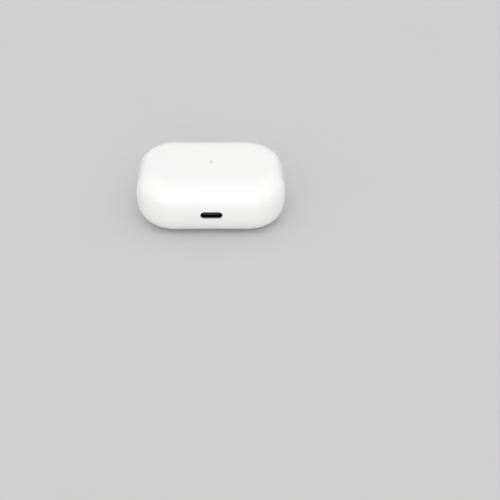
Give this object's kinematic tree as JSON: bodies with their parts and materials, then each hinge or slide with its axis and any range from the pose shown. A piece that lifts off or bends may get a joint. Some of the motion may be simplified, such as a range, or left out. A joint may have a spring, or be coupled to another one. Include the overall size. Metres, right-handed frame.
{
  "type": "wireless earbuds charging case",
  "caption": "Pebble-shaped charging case for wireless earbuds with a hinged magnetic lid, earbud wells with sprung contacts, a charging port and a pairing button.",
  "frame": {"origin": "on the flat back face, under the middle of the case, which lies on its back", "axes": "+X across the case, +Y from the charging port to the lid's end, +Z out of the front face"},
  "size_m": [0.0606, 0.0452, 0.0217],
  "materials": {
    "shell_white": "polished",
    "lining_white": "satin",
    "hinge_steel": "brushed",
    "port_steel": "satin",
    "dark_plastic": "matte",
    "black_rubber": "matte",
    "amber_flex": "satin",
    "copper": "enamelled wire",
    "ferrite": "matte",
    "green_board": "solder mask",
    "nickel": "satin plate",
    "light_guide": "frosted",
    "gold_contact": "polished",
    "cell_foil": "laminated foil"
  },
  "bodies": {
    "case_body": {"body_shell": "shell_white", "bud_tray": "lining_white", "hinge_body_leaf": "hinge_steel", "hinge_pin": "hinge_steel", "hinge_cover": "hinge_steel", "hinge_body_screw_left": "hinge_steel", "hinge_body_screw_right": "hinge_steel", "contact_block_left": "dark_plastic", "contact_block_right": "dark_plastic", "contact_flex_left": "amber_flex", "contact_flex_right": "amber_flex", "port_shell": "port_steel", "port_tongue": "dark_plastic", "port_gasket": "black_rubber", "port_bracket": "port_steel", "port_screw_left": "port_steel", "port_screw_right": "port_steel", "port_flex": "amber_flex", "button_gasket": "black_rubber", "pairing_switch": "port_steel", "button_flex": "amber_flex", "charging_coil": "copper", "ferrite_sheet": "ferrite", "coil_lead": "copper", "main_board": "green_board", "charge_controller": "nickel", "microcontroller": "dark_plastic", "board_inductor": "ferrite", "battery_connector": "dark_plastic", "hall_sensor": "dark_plastic", "status_led": "light_guide", "status_light_pipe": "light_guide", "battery_left": "cell_foil", "battery_right": "cell_foil", "battery_tab_left": "amber_flex", "battery_tab_right": "amber_flex", "body_magnet_left": "nickel", "body_magnet_right": "nickel", "bud_magnet_left": "nickel", "bud_magnet_right": "nickel"},
    "lid": {"lid_shell": "shell_white", "lid_liner": "lining_white", "hinge_lid_leaf": "hinge_steel", "hinge_lid_screw_left": "hinge_steel", "hinge_lid_screw_right": "hinge_steel", "lid_magnet_left": "nickel", "lid_magnet_right": "nickel", "sense_magnet": "nickel"},
    "pairing_button": {"pairing_button": "shell_white"},
    "contact_pin_left_front": {"contact_pin_left_front": "gold_contact"},
    "contact_pin_left_back": {"contact_pin_left_back": "gold_contact"},
    "contact_pin_right_front": {"contact_pin_right_front": "gold_contact"},
    "contact_pin_right_back": {"contact_pin_right_back": "gold_contact"}
  },
  "joints": [
    {"name": "lid_hinge", "type": "hinge", "parent": "case_body", "child": "lid", "pos_m": [0, 0.0085, 0.0005], "axis": [-1, 0, 0], "range_deg": [0, 95]},
    {"name": "pairing_button_press", "type": "slide", "parent": "case_body", "child": "pairing_button", "axis": [0, 0, 1], "range_m": [0, 0.00025], "stiffness_N_per_m": 6000, "springref_m": -0.0001},
    {"name": "contact_pin_left_front_press", "type": "slide", "parent": "case_body", "child": "contact_pin_left_front", "axis": [0, -1, 0], "range_m": [0, 0.0006], "stiffness_N_per_m": 600, "springref_m": -0.0002},
    {"name": "contact_pin_left_back_press", "type": "slide", "parent": "case_body", "child": "contact_pin_left_back", "axis": [0, -1, 0], "range_m": [0, 0.0006], "stiffness_N_per_m": 600, "springref_m": -0.0002},
    {"name": "contact_pin_right_front_press", "type": "slide", "parent": "case_body", "child": "contact_pin_right_front", "axis": [0, -1, 0], "range_m": [0, 0.0006], "stiffness_N_per_m": 600, "springref_m": -0.0002},
    {"name": "contact_pin_right_back_press", "type": "slide", "parent": "case_body", "child": "contact_pin_right_back", "axis": [0, -1, 0], "range_m": [0, 0.0006], "stiffness_N_per_m": 600, "springref_m": -0.0002}
  ]
}
